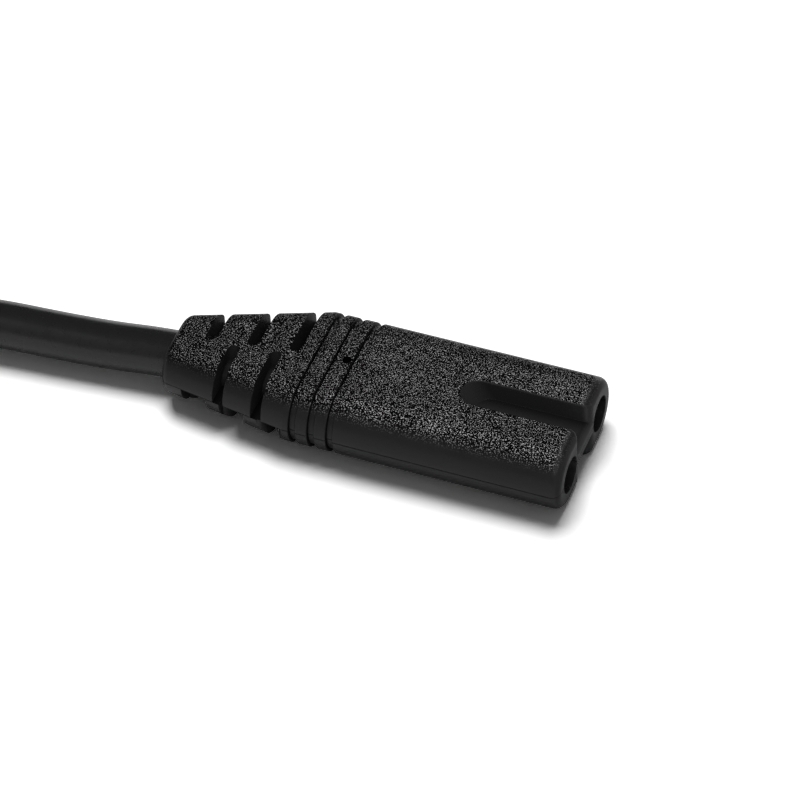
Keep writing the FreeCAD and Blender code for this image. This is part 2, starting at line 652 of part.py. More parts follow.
def make_plug_mould():
    """Moulded plug: flat six-sided front, tapered grip and ringed strain relief in one piece."""
    body = new_body("plug_mould")
    at(body, PLUG_X, PLUG_Y, PLUG_Z)
    face = new_sketch(body, "YZ_Plane", "plug_face", "0")
    draw_hexagon(face, "plug_width", "plug_crown", "plug_height")
    pad(body, "plug_front", face, "plug_front_length")
    wide = new_sketch(body, "YZ_Plane", "plug_shoulder", "plug_front_length")
    draw_hexagon(wide, "plug_width", "plug_crown", "plug_height")
    narrow = new_sketch(body, "YZ_Plane", "plug_neck", "plug_front_length + plug_taper_length")
    draw_hexagon(narrow, "plug_rear_width", "plug_rear_crown", "plug_rear_height")
    loft(body, "plug_grip", [wide, narrow])
    round_edges(body, "plug_edges", "plug_edge_radius", is_long_edge)

    neck = "plug_front_length + plug_taper_length"
    thick = new_sketch(body, "YZ_Plane", "plug_relief_front", neck)
    draw_circle(thick, "thick", "0", "plug_relief_front_radius")
    thin = new_sketch(body, "YZ_Plane", "plug_relief_rear", neck + " + plug_relief_length")
    draw_circle(thin, "thin", "0", "plug_relief_rear_radius")
    loft(body, "plug_relief", [thick, thin])
    ring = new_sketch(body, "YZ_Plane", "plug_ring", neck + " + plug_relief_pitch")
    draw_circle(ring, "ring_core", "0", "( cord_diameter / 2 + plug_relief_rear_radius ) / 2")
    draw_circle(ring, "ring_outside", "0", "plug_relief_front_radius + %g" % CLEAR)
    first = pocket(body, "plug_first_ring", ring, "plug_relief_slot")
    rings = body.newObject("PartDesign::LinearPattern", "plug_rings")
    rings.Originals = [first]
    rings.Direction = (origin(body, "X_Axis"), [""])
    rings.Occurrences = PLUG_RELIEF_RINGS
    bind(rings, {"Length": cell("plug_relief_pitch * %d" % (PLUG_RELIEF_RINGS - 1))})
    body.Tip = rings
    return body


def make_plug_pin(side, sign):
    """Solid pin with a thin shank, and the insulating sleeve on that shank."""
    y = PLUG_Y + " + " + beside("plug_pin_pitch", sign)
    tip_x = PLUG_X + " - plug_pin_length"
    bare = "plug_pin_length - sleeve_length - plug_pin_tip"
    end = rod("pin_end_" + side, "plug_pin_radius", bare, tip_x + " + plug_pin_tip", y, PLUG_Z)
    tip = doc.addObject("Part::Cone", "pin_tip_" + side)
    tip.Placement = Placement(Vector(), Rotation(Vector(0, 1, 0), 90))
    bind(tip, {"Radius1": cell("plug_pin_tip_radius"), "Radius2": cell("plug_pin_radius"),
               "Height": cell("plug_pin_tip")})
    at(tip, tip_x, y, PLUG_Z)
    shank = rod("shank_" + side, "shank_radius", "sleeve_length + bridge_setback + bridge_length + plug_tail_length",
                PLUG_X + " - sleeve_length", y, PLUG_Z)
    pin = fuse("plug_pin_" + side, [end, tip, shank])
    outside = rod("sleeve_outside_" + side, "sleeve_radius", "sleeve_length + bridge_setback",
                  PLUG_X + " - sleeve_length", y, PLUG_Z)
    return pin, shank, cut("pin_sleeve_" + side, outside, [shank])


def make_bridge(shanks):
    """Bar that holds the two plug pins at their distance."""
    half = "( shank_radius + bridge_wall )"
    bar = block("bridge_bar", "bridge_length", "plug_pin_pitch + " + half + " * 2", half + " * 2",
                PLUG_X + " + bridge_setback", PLUG_Y + " - plug_pin_pitch / 2 - " + half, PLUG_Z + " - " + half)
    return cut("plug_bridge", bar, shanks)


def build():
    """Make every sub-part and return them by name."""
    overmould = make_overmould()
    envelope, carrier = make_carrier()
    inside = [envelope]
    parts = {"contact_carrier": carrier}
    for side, sign in SIDES.items():
        parts["contact_" + side] = make_contact(side, sign)
        bare = rod("crimped_wire_" + side, "conductor_diameter / 2", "crimp_length", CRIMP_END,
                   beside("pin_pitch", sign), AXIS)
        core, conductor = make_core("", side, connector_core_points(sign), bare)
        parts["core_" + side] = core
        parts["conductor_" + side] = conductor
        inside += [parts["contact_" + side], core, conductor]

    radius = size("cord_diameter") / 2
    hank = make_hank()
    parts["cord_hank"] = hank
    parts["hank_tie"] = make_tie()
    exit_points = [Vector(value_of(x), -size("relief_lean"), size("lobe_radius"))
                   for x in (JACKET_END, REAR + " - cord_straight")]
    entry_point = Vector(value_of("hank_near_x + hank_entry"), value_of(HANK_SIDE) + radius,
                         size("tie_thickness") + radius)
    lead = tube("cord_lead", exit_points + [Vector(*point) for point in LEAD_POINTS] + [entry_point], radius)
    parts["cord_lead"] = lead
    plug_points = [Vector(value_of(x), value_of(PLUG_Y), value_of(PLUG_Z)) for x in (PLUG_REAR, PLUG_JACKET_END)]
    tail = tube("tail_run", [Vector(*point) for point in TAIL_POINTS] + plug_points, radius)
    parts["cord_tail"] = cut("cord_tail", tail, [hank])
    parts["connector_body"] = cut("connector_body", overmould, inside + [lead])

    plug_inside = [tail]
    shanks = []
    for side, sign in SIDES.items():
        pin, shank, sleeve = make_plug_pin(side, sign)
        parts["plug_pin_" + side] = pin
        parts["pin_sleeve_" + side] = sleeve
        y = PLUG_Y + " + " + beside("plug_pin_pitch", sign)
        bare = rod("welded_wire_" + side, "conductor_diameter / 2", "plug_bare_length", PIN_TAIL_END, y, PLUG_Z)
        core, conductor = make_core("plug_", side, plug_core_points(sign), bare)
        parts["plug_core_" + side] = core
        parts["plug_conductor_" + side] = conductor
        shanks.append(shank)
        plug_inside += [pin, sleeve, core, conductor]
    parts["plug_bridge"] = make_bridge(shanks)
    plug_inside.append(parts["plug_bridge"])
    parts["plug_body"] = cut("plug_body", make_plug_mould(), plug_inside)
    return parts


def write(parts):
    """Check every object and write each sub-part to its own file."""
    doc.recompute()
    for item in doc.Objects:
        if "Invalid" in item.State or "Error" in item.State:
            raise RuntimeError("%s failed: %s" % (item.Label, item.State))
    os.makedirs("parts", exist_ok=True)
    for name, item in parts.items():
        item.Label = name
        shape = item.Shape
        if shape.isNull() or not shape.isValid() or not shape.Solids:
            raise RuntimeError("%s has no valid solid" % name)
        print("%-24s %d solid, %.1f mm3" % (name, len(shape.Solids), shape.Volume))
        shape.exportStep("parts/%s.step" % name)


write(build())
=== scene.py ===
"""Dressed scene of a figure eight power connector with its cord, hank and plug, in metres."""
import math

import bpy
from bpy.props import FloatProperty, FloatVectorProperty, IntProperty, PointerProperty, StringProperty
from mathutils import Matrix, Vector


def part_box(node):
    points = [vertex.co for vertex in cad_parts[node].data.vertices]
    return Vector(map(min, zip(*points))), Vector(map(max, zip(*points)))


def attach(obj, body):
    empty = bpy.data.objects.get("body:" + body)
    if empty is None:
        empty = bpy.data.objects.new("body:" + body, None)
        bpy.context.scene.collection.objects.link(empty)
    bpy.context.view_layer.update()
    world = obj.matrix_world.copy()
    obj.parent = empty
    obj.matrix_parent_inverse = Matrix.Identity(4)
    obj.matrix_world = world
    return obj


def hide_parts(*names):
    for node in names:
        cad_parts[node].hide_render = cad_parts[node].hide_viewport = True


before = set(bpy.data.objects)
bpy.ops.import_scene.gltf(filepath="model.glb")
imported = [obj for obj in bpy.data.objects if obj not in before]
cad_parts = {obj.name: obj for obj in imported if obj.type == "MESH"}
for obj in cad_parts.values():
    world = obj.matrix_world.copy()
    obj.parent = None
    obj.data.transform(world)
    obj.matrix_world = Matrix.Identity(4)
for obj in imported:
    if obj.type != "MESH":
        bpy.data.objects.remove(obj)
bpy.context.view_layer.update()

bl_info = {
    "name": "Figure Eight Connector",
    "version": (1, 0, 0),
    "blender": (4, 5, 0),
    "location": "3D View > Sidebar > Connector",
    "description": "Dresses a figure eight power connector, lays out its cord and sets up a photo stage",
    "category": "Object",
}

MM = 0.001
BODY = "root"
SIDES = ("left", "right")

# Side of the picture in pixels, the camera's sensor in millimetres and its nearest sight in metres
IMAGE_SIDE = 800
SENSOR_MM = 36.0
CLIP_START = 0.01

# Half side of the floor, height of the wall round it, and where both turn white, in metres
FLOOR_REACH = 3.0
WALL_HEIGHT = 0.5
WHITE_EDGE = (0.8, 2.5)

# Route of the cord from behind the strain relief to the hank, in metres
LEAD_POINTS = [
    (-0.0225, -0.0015, 0.00335),
    (-0.0275, -0.0020, 0.00300),
    (-0.0335, -0.0025, 0.00300),
    (-0.0400, -0.0029, 0.00305),
    (-0.0480, -0.0042, 0.00315),
    (-0.0550, -0.0058, 0.00350),
]

# Route of the cord from inside the hank's top layer to the plug, in metres
TAIL_POINTS = [
    (-0.0954, 0.0289, 0.01340),
    (-0.0890, 0.0297, 0.01620),
    (-0.0831, 0.0316, 0.01760),
    (-0.0695, 0.0336, 0.01810),
    (-0.0599, 0.0240, 0.01800),
    (-0.0599, 0.0104, 0.01840),
    (-0.0695, 0.0008, 0.01980),
    (-0.0831, 0.0009, 0.02160),
]

# Places of the turns in the hank's section, in winding order: column from the inside, layer from below
TURN_PLACES = [(1, 0), (0, 0), (0, 1), (1, 1), (1, 2), (0, 2)]
HANK_COLUMNS = 2

# Steps in a quarter bend of the strap, and the angle past which its edges stay sharp
CORNER_STEPS = 8
SHARP_ANGLE = math.radians(30)

# The plug with all that is in it
PLUG_NODES = ["plug_body", "plug_bridge"]
PLUG_NODES += [piece + side for side in SIDES for piece in (
    "plug_pin_", "pin_sleeve_", "plug_core_", "plug_conductor_")]

# Where the connector's finish changes. Each pair is the start and the end of a soft edge.
LEVEL_SLOPE = (0.6, 0.9)  # upright wall to level surface, by how far it faces up or down
END_SLOPE = (0.3, 0.8)  # side to end, by how far it faces along the connector
OUTER_HEIGHT = (0.5, 0.56)  # groove's floor to the outside, as shares of half the height
RIM_EDGE = (1.4, 0.8)  # grain to smooth rim, in widths of the rim behind the mating face
GROOVE_EDGE = (2.4 * MM, 2.7 * MM)  # waist grooves to the sides, from the middle
RINGS_MIDDLE = -3.0 * MM  # along the connector
RINGS_EDGE = (4.5 * MM, 5.5 * MM)  # rings to the rest, from the middle of the rings
NOSE_EDGE = (-8.0 * MM, 2.0 * MM)  # relief to nose

# How strong the connector's finish is there
RIM_GRAIN = 0.3  # grain left on the rim
END_PAINTED_LIGHT = 0.7  # painted light on ends, against that on the walls of the grooves
SIDE_SHEEN = 0.13
DULL_SHEEN = 0.02
RELIEF_GLINT = 0.75  # sparkle of the relief against the nose
GLINT_SPREAD = (0.8, 1.15)  # sparkle from patch to patch

# Parts of a noise: nearly all of it, its middle, and the peaks that catch the light
NOISE_RANGE = (0.3, 0.7)
NOISE_MIDDLE = (0.35, 0.65)
NOISE_PEAKS = (0.57, 0.65)

# Roughness across the patterns of each finish
GRAIN_ROUGHNESS = (0.36, 0.44)
JACKET_ROUGHNESS = (0.26, 0.34)
ROUGHNESS_SPREAD = 0.05

# Shader nodes: a smooth map range, a mix of colours with its sockets, and a wave's pitch at a scale of 1
SMOOTH = {"interpolation_type": "SMOOTHSTEP"}
COLOUR_A, COLOUR_B, COLOUR_RESULT = 6, 7, 2
WAVE_PITCH = math.pi / 10


# Settings
class CordSettings(bpy.types.PropertyGroup):
    """Sizes of the cord, of its hank and of the strap."""

    diameter: FloatProperty(name="Diameter", description="Round cord", default=4.9 * MM, unit="LENGTH")
    length: FloatProperty(name="Length", description="Whole lead", default=1.5, unit="LENGTH")
    lean: FloatProperty(
        name="Lean", description="Cord off the connector's middle where it leaves",
        default=1.35 * MM, unit="LENGTH")
    strap: FloatProperty(
        name="Strap", description="Thickness of the hank's strap", default=0.8 * MM, unit="LENGTH")
    fold_radius: FloatProperty(
        name="Fold Radius", description="Middle of the innermost turns at a fold",
        default=14.7 * MM, unit="LENGTH")
    run: FloatProperty(
        name="Run", description="Straight part of the hank's turns", default=60.3 * MM, unit="LENGTH")
    turn_points: IntProperty(
        name="Turn Points", description="Points in one turn of the hank", default=32, min=12)


class FinishSettings(bpy.types.PropertyGroup):
    """Sizes and shine of the patterns and edges on the surfaces."""

    grain_size: FloatProperty(
        name="Grain Size", description="Width of the pits of the spark-eroded mould",
        default=0.115 * MM, unit="LENGTH")
    grain_depth: FloatProperty(
        name="Grain Depth", description="Depth of the pits of the spark-eroded mould",
        default=0.06 * MM, unit="LENGTH")
    glint: FloatProperty(name="Glint", description="Shine of the grain's peaks", default=1.65)
    patch: FloatProperty(
        name="Patch", description="Patches in which the grain's shine varies",
        default=5.0 * MM, unit="LENGTH")
    seam: FloatProperty(
        name="Seam", description="Half width of the parting line", default=0.07 * MM, unit="LENGTH")
    edge_radius: FloatProperty(
        name="Edge Radius", description="Softness of moulded edges", default=0.12 * MM, unit="LENGTH")
    rim: FloatProperty(
        name="Rim", description="Smooth band behind the mating face", default=0.9 * MM, unit="LENGTH")
    wave: FloatProperty(
        name="Wave", description="Width of the waves along the cord's jacket",
        default=1.2 * MM, unit="LENGTH")
    wave_height: FloatProperty(
        name="Wave Height", description="Height of the waves along the cord's jacket",
        default=0.01 * MM, unit="LENGTH")
    flow: FloatProperty(
        name="Flow", description="Width of the flow marks in hard plastic", default=2.0 * MM, unit="LENGTH")
    loop: FloatProperty(
        name="Loop", description="Width of the strap's loops", default=0.35 * MM, unit="LENGTH")
    loop_height: FloatProperty(
        name="Loop Height", description="Height of the strap's loops", default=0.15 * MM, unit="LENGTH")
    tool_mark: FloatProperty(
        name="Tool Mark", description="Pitch of the turning marks on contacts and pins",
        default=0.6283 * MM, unit="LENGTH")
    strand_lay: FloatProperty(
        name="Strand Lay", description="Pitch of the twist of the copper strands",
        default=1.2566 * MM, unit="LENGTH")
    mark_depth: FloatProperty(
        name="Mark Depth", description="Depth of the marks on metal", default=0.004 * MM, unit="LENGTH")


class ColourSettings(bpy.types.PropertyGroup):
    """Colours of the pieces, as sRGB hex codes."""

    smooth: StringProperty(name="Smooth", description="Smooth sides of the connector", default="1A1A1B")
    # Paler than the PVC itself: painted light on the walls of grooves and slots
    painted_light_cuts: StringProperty(name="Cuts", description="Walls of the grooves and slots", default="2A2A2B")
    # Blacker than the PVC itself: painted shade of the grain's pits, also painted shade on the walls of the
    # rings
    grain: StringProperty(name="Grain", description="Grained surfaces of both ends", default="060606")
    jacket: StringProperty(name="Jacket", description="Jacket of the cord", default="272728")
    strap: StringProperty(name="Strap", description="Strap of the hank", default="1C1C1E")
    carrier: StringProperty(name="Carrier", description="Carrier of the contacts", default="161616")
    contact: StringProperty(name="Contact", description="Brass of the contacts", default="C9A85C")
    conductor: StringProperty(name="Conductor", description="Copper of the conductors", default="B87350")
    core_left: StringProperty(name="Left Core", description="Insulation of one core", default="5A3421")
    core_right: StringProperty(name="Right Core", description="Insulation of the other", default="2A4FA0")
    bridge: StringProperty(name="Bridge", description="Bridge of the plug's pins", default="B4B4AE")
    pin: StringProperty(name="Pin", description="Nickel of the plug's pins", default="C6C2B8")
    sleeve: StringProperty(name="Sleeve", description="Sleeves of the plug's pins", default="1A1A1A")


class StageSettings(bpy.types.PropertyGroup):
    """Camera, floor and lights."""

    azimuth: FloatProperty(
        name="Azimuth", description="Camera's turn about the vertical",
        default=math.radians(23.01), subtype="ANGLE")
    elevation: FloatProperty(
        name="Elevation", description="Camera above the floor",
        default=math.radians(45.76), subtype="ANGLE")
    roll: FloatProperty(
        name="Roll", description="Camera's turn about its view",
        default=math.radians(-2.89), subtype="ANGLE")
    distance: FloatProperty(
        name="Distance", description="Camera to the mating face", default=0.3854, unit="LENGTH")
    lens: FloatProperty(name="Lens", description="Focal length in millimetres", default=180.0, unit="CAMERA")
    aim: FloatVectorProperty(
        name="Aim", description="Pixel at which the middle of the mating face is seen",
        size=2, default=(585.2, 444.2))
    floor: StringProperty(
        name="Floor", description="Colour of the floor, as an sRGB hex code", default="F4F4F4")
    whitening: FloatProperty(
        name="Whitening", description="How much paler the floor is to the camera than to the object",
        default=0.5, subtype="FACTOR")
    softbox: FloatProperty(
        name="Softbox", description="Side of each softbox", default=1.5, unit="LENGTH")
    front_place: FloatVectorProperty(
        name="Front", description="Place of the softbox that lights the object",
        default=(0.45, -1.0, 1.8), subtype="XYZ", unit="LENGTH")
    front_power: FloatProperty(
        name="Front Power", description="Power of the front softbox", default=27.0, unit="POWER")
    back_place: FloatVectorProperty(
        name="Back", description="Place of the softbox that also lights the floor",
        default=(-0.45, 0.84, 2.4), subtype="XYZ", unit="LENGTH")
    back_power: FloatProperty(
        name="Back Power", description="Power of the back softbox", default=65.0, unit="POWER")
    room: FloatProperty(
        name="Room", description="Strength of the even light of the room", default=0.1)


# Shader helpers
def linear(code):
    """Linear colour of an sRGB hex code."""
    channels = [int(code[place:place + 2], 16) / 255 for place in (0, 2, 4)]
    return [c / 12.92 if c <= 0.04045 else ((c + 0.055) / 1.055) ** 2.4 for c in channels] + [1.0]


def set_inputs(node, inputs):
    """Set a shader node's inputs to values, or link them to the outputs of other nodes."""
    for name, value in inputs.items():
        if isinstance(value, bpy.types.NodeSocket):
            node.id_data.links.new(value, node.inputs[name])
        else:
            node.inputs[name].default_value = value


def add_node(tree, kind, inputs=(), output=0, **options):
    """Add a shader node with its options and its inputs, by name or in their order. Gives one output."""
    node = tree.nodes.new("ShaderNode" + kind)
    for name, value in options.items():
        setattr(node, name, value)
    set_inputs(node, inputs if isinstance(inputs, dict) else dict(enumerate(inputs)))
    return node.outputs[output]


def new_material(name):
    """Material with its node tree and its principled shader."""
    material = bpy.data.materials.new(name)
    material.use_nodes = True
    return material, material.node_tree, material.node_tree.nodes["Principled BSDF"]


# Materials
def mould_grain(tree, sizes):
    """Grain of a spark-eroded mould: its pits, the sparkle and roughness of each patch, and soft edges."""
    place = add_node(tree, "TexCoord", output="Object")
    # Drawn coarser than the real pits, which would be too fine to show
    pits = add_node(tree, "TexNoise", {"Vector": place, "Scale": 1 / sizes.grain_size, "Detail": 0.5})
    patches = add_node(tree, "TexNoise", {"Vector": place, "Scale": 1 / sizes.patch, "Detail": 2.0})
    spread = [share * sizes.glint for share in GLINT_SPREAD]
    sparkle = add_node(tree, "MapRange", (patches, *NOISE_MIDDLE, *spread), **SMOOTH)
    roughness = add_node(tree, "MapRange", (patches, *NOISE_RANGE, *GRAIN_ROUGHNESS), **SMOOTH)
    edges = add_node(tree, "Bevel", {"Radius": sizes.edge_radius}, samples=4)
    return pits, sparkle, roughness, edges


def connector_zones(tree, sizes):
    """Masks of the connector's surface: grain, whose deeper black is painted shade of its pits; dull parts;
    parting line; walls made paler as painted light; walls in the rings made darker as painted shade; strength
    of sparkle.
    """
    low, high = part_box("connector_body")
    half = (high.z - low.z) / 2
    place = add_node(tree, "TexCoord", output="Object")
    x, y, z = add_node(tree, "SeparateXYZ", (place,)).node.outputs
    facing = add_node(tree, "NewGeometry", output="Normal")
    facing = add_node(tree, "SeparateXYZ", (facing,)).node.outputs

    # Grain on the outside, but not on upright walls or in grooves, and less of it at the rim
    vertical = add_node(tree, "Math", (facing["Z"],), operation="ABSOLUTE")
    level = add_node(tree, "MapRange", (vertical, *LEVEL_SLOPE, 0.0, 1.0), **SMOOTH)
    away = add_node(tree, "Math", (z, low.z + half), operation="SUBTRACT")
    away = add_node(tree, "Math", (away,), operation="ABSOLUTE")
    outer_edge = [share * half for share in OUTER_HEIGHT]
    outer = add_node(tree, "MapRange", (away, *outer_edge, 0.0, 1.0), **SMOOTH)
    outside = add_node(tree, "Math", (level, outer), operation="MULTIPLY")
    rim_edge = [high.x - share * sizes.rim for share in RIM_EDGE]
    behind_rim = add_node(tree, "MapRange", (x, *rim_edge, 1.0, RIM_GRAIN), **SMOOTH)
    grained = add_node(tree, "Math", (outside, behind_rim), operation="MULTIPLY")

    # Dull floors of grooves, and ends
    floors = add_node(tree, "Math", (level, outside), operation="SUBTRACT")
    lengthwise = add_node(tree, "Math", (facing["X"],), operation="ABSOLUTE")
    ends = add_node(tree, "MapRange", (lengthwise, *END_SLOPE, 0.0, 1.0), **SMOOTH)
    dull = add_node(tree, "Math", (floors, ends), operation="MAXIMUM")

    # Parting line at half the height
    seam = add_node(tree, "MapRange", (away, 0.0, sizes.seam, 1.0, 0.0), **SMOOTH)

    # Painted light: paler colour on the walls of grooves and slots, apart from the rings, which take painted
    # shade
    off_middle = add_node(tree, "Math", (y,), operation="ABSOLUTE")
    inner = add_node(tree, "MapRange", (off_middle, *GROOVE_EDGE, 1.0, 0.0), **SMOOTH)
    upright = add_node(tree, "Math", (1.0, level), operation="SUBTRACT")
    walls = add_node(tree, "Math", (inner, upright), operation="MULTIPLY")
    ends_painted_light = add_node(tree, "Math", (ends, END_PAINTED_LIGHT), operation="MULTIPLY")
    all_cuts = add_node(tree, "Math", (walls, ends_painted_light), operation="MAXIMUM")
    off_rings = add_node(tree, "Math", (x, RINGS_MIDDLE), operation="SUBTRACT")
    off_rings = add_node(tree, "Math", (off_rings,), operation="ABSOLUTE")
    ringed = add_node(tree, "MapRange", (off_rings, *RINGS_EDGE, 1.0, 0.0), **SMOOTH)
    # Walls in the rings, the locator mark among them, take painted shade
    rings = add_node(tree, "Math", (all_cuts, ringed), operation="MULTIPLY")
    painted_light_cuts = add_node(tree, "Math", (all_cuts, rings), operation="SUBTRACT")

    sparkling = add_node(tree, "MapRange", (x, *NOSE_EDGE, RELIEF_GLINT, 1.0), **SMOOTH)
    return grained, dull, seam, painted_light_cuts, rings, sparkling


def connector_pvc(sizes, colours):
    """Soft PVC of the connector, from a spark-eroded mould."""
    # To the eye: black, sparkling grain on the outside, a soft sheen on the sides, dull grooves and slots, a
    # thin seam; painted shade makes the grain and the walls of the rings blacker, and painted light makes the
    # other walls of grooves and slots paler
    material, tree, shader = new_material("spark_eroded_black_pvc")
    pits, sparkle, roughness, edges = mould_grain(tree, sizes)
    grained, dull, seam, painted_light_cuts, rings, sparkling = connector_zones(tree, sizes)
    ridge = add_node(tree, "Bump", {
        "Height": seam, "Distance": sizes.seam, "Strength": 1.0, "Normal": edges})
    height = add_node(tree, "Math", (pits, grained), operation="MULTIPLY")
    normal = add_node(tree, "Bump", {
        "Height": height, "Distance": sizes.grain_depth, "Strength": 1.0, "Normal": ridge})
    # Colour of the sides, with painted light on the walls of grooves and slots
    smooth = add_node(
        tree, "Mix", {"Factor": painted_light_cuts, COLOUR_A: linear(colours.smooth), COLOUR_B: linear(colours.painted_light_cuts)},
        COLOUR_RESULT, data_type="RGBA")
    # Painted shade on the grain and on the walls of the rings, and the blacker seam
    painted_shade_and_seam = add_node(tree, "Math", (grained, seam), operation="MAXIMUM")
    painted_shade_and_seam = add_node(tree, "Math", (painted_shade_and_seam, rings), operation="MAXIMUM")
    colour = add_node(
        tree, "Mix", {"Factor": painted_shade_and_seam, COLOUR_A: smooth, COLOUR_B: linear(colours.grain)},
        COLOUR_RESULT, data_type="RGBA")
    dull = add_node(tree, "Math", (dull, seam), operation="MAXIMUM")
    sheen = add_node(tree, "MapRange", (dull, 0.0, 1.0, SIDE_SHEEN, DULL_SHEEN), **SMOOTH)
    sparkle = add_node(tree, "Math", (sparkle, sparkling), operation="MULTIPLY")
    glint = add_node(tree, "MapRange", (pits, *NOISE_PEAKS, 0.0, sparkle), **SMOOTH)
    shine = add_node(tree, "Mix", {"Factor": grained, "A": sheen, "B": glint}, data_type="FLOAT")
    set_inputs(shader, {
        "Base Color": colour, "IOR": 1.5, "Specular IOR Level": shine,
        "Roughness": roughness, "Normal": normal})
    return material


def plug_pvc(sizes, colours):
    """Soft PVC of the plug, from a spark-eroded mould."""
    # To the eye: the connector's black, sparkling grain all over; its deep black colour is painted shade of
    # the pits
    material, tree, shader = new_material("spark_eroded_plug_pvc")
    pits, sparkle, roughness, edges = mould_grain(tree, sizes)
    normal = add_node(tree, "Bump", {
        "Height": pits, "Distance": sizes.grain_depth, "Strength": 1.0, "Normal": edges})
    glint = add_node(tree, "MapRange", (pits, *NOISE_PEAKS, 0.0, sparkle), **SMOOTH)
    # The deep black base colour is painted shade of the pits
    set_inputs(shader, {
        "Base Color": linear(colours.grain), "IOR": 1.5, "Specular IOR Level": glint,
        "Roughness": roughness, "Normal": normal})
    return material


def jacket_pvc(sizes, colours):
    """Soft PVC of the cord's jacket, extruded."""
    # To the eye: satin black with a soft streak of light, which faint waves from the die unsettle
    material, tree, shader = new_material("extruded_black_pvc")
    place = add_node(tree, "TexCoord", output="Object")
    waves = add_node(tree, "TexNoise", {"Vector": place, "Scale": 1 / sizes.wave, "Detail": 3.0})
    normal = add_node(tree, "Bump", {"Height": waves, "Distance": sizes.wave_height, "Strength": 1.0})
    roughness = add_node(tree, "MapRange", (waves, *NOISE_RANGE, *JACKET_ROUGHNESS), **SMOOTH)
    set_inputs(shader, {
        "Base Color": linear(colours.jacket), "IOR": 1.53, "Specular IOR Level": 0.15,
        "Roughness": roughness, "Normal": normal})
    return material


def strap_nylon(sizes, colours):
    """Nylon of the strap, woven with loops."""
    # To the eye: dull black with a soft nap
    material, tree, shader = new_material("woven_black_nylon")
    place = add_node(tree, "TexCoord", output="Object")
    loops = add_node(tree, "TexNoise", {"Vector": place, "Scale": 1 / sizes.loop, "Detail": 4.0})
    normal = add_node(tree, "Bump", {"Height": loops, "Distance": sizes.loop_height, "Strength": 1.0})
    set_inputs(shader, {
        "Base Color": linear(colours.strap), "IOR": 1.53, "Roughness": 0.85, "Sheen Weight": 0.1,
        "Normal": normal})
    return material


def smooth_plastic(name, sizes, code, roughness):
    """Plastic from a polished mould or die."""
    # To the eye: one even colour with a sheen that varies faintly along its flow
    material, tree, shader = new_material(name)
    place = add_node(tree, "TexCoord", output="Object")
    flow = add_node(tree, "TexNoise", {"Vector": place, "Scale": 1 / sizes.flow, "Detail": 2.0})
    spread = (roughness - ROUGHNESS_SPREAD, roughness + ROUGHNESS_SPREAD)
    varied = add_node(tree, "MapRange", (flow, *NOISE_RANGE, *spread), **SMOOTH)
    set_inputs(shader, {"Base Color": linear(code), "IOR": 1.5, "Roughness": varied})
    return material


def banded_metal(name, sizes, code, roughness, pitch):
    """Metal with fine bands across the X axis, from a lathe or from twisted strands."""
    # To the eye: bright metal whose highlight the bands break up
    material, tree, shader = new_material(name)
    place = add_node(tree, "TexCoord", output="Object")
    # Drawn coarser than the real marks, which would be too fine to show
    marks = add_node(
        tree, "TexWave", {"Vector": place, "Scale": WAVE_PITCH / pitch, "Distortion": 1.5, "Detail": 2.0},
        "Fac", bands_direction="X")
    normal = add_node(tree, "Bump", {"Height": marks, "Distance": sizes.mark_depth, "Strength": 1.0})
    spread = (roughness - ROUGHNESS_SPREAD, roughness + ROUGHNESS_SPREAD)
    varied = add_node(tree, "MapRange", (marks, 0.0, 1.0, *spread), **SMOOTH)
    set_inputs(shader, {"Base Color": linear(code), "Metallic": 1.0, "Roughness": varied, "Normal": normal})
    return material


def floor_card(settings):
    """Pale card of the floor and its wall."""
    # To the eye: matt, paler to the camera and in reflections than to the object, and white far away
    material, tree, shader = new_material("pale_card")
    set_inputs(shader, {"Base Color": linear(settings.floor), "Roughness": 0.9, "Specular IOR Level": 0.1})
    path = add_node(tree, "LightPath").node.outputs
    seen = add_node(tree, "Math", (path["Is Camera Ray"], path["Is Glossy Ray"]), operation="ADD")
    seen = add_node(tree, "Math", (seen, path["Is Transmission Ray"]), operation="ADD", use_clamp=True)
    gain = add_node(tree, "Math", (seen, settings.whitening), operation="MULTIPLY")
    coat = add_node(tree, "BsdfDiffuse", {"Color": gain})
    paler = add_node(tree, "AddShader", (shader.outputs["BSDF"], coat))
    place = add_node(tree, "TexCoord", output="Object")
    away = add_node(tree, "VectorMath", (place,), "Value", operation="LENGTH")
    far = add_node(tree, "MapRange", (away, *WHITE_EDGE, 0.0, 1.0), **SMOOTH)
    strength = add_node(tree, "Math", (seen, far), operation="MULTIPLY")
    glow = add_node(tree, "Emission", {"Strength": strength})
    lit = add_node(tree, "AddShader", (paler, glow))
    set_inputs(tree.nodes["Material Output"], {"Surface": lit})
    # The glow is there only to be seen, so it isn't sampled as a lamp
    material.cycles.emission_sampling = "NONE"
    return material


def finish(node, material):
    """Give a node of the frame its material."""
    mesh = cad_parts[node].data
    mesh.materials.clear()
    mesh.materials.append(material)


# Cord and strap
def hank_sizes(settings):
    """Near and far fold's middles, the middle line and the base of the hank."""
    low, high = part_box("cord_hank")
    reach = settings.fold_radius + (HANK_COLUMNS - 0.5) * settings.diameter
    return low.x + reach + settings.run, low.x + reach, high.y - reach, low.z


def place_on_loop(distance, radius, mean, near, far, middle):
    """Point of a turn at a distance along the hank's mean loop, from the near end of its near run."""
    run = near - far
    bend = math.pi * mean
    if distance < run:
        return near - distance, middle - radius
    if distance < run + bend:
        angle = (distance - run) / mean
        return far - radius * math.sin(angle), middle - radius * math.cos(angle)
    if distance < 2 * run + bend:
        return far + distance - run - bend, middle + radius
    angle = (distance - 2 * run - bend) / mean
    return near + radius * math.sin(angle), middle + radius * math.cos(angle)


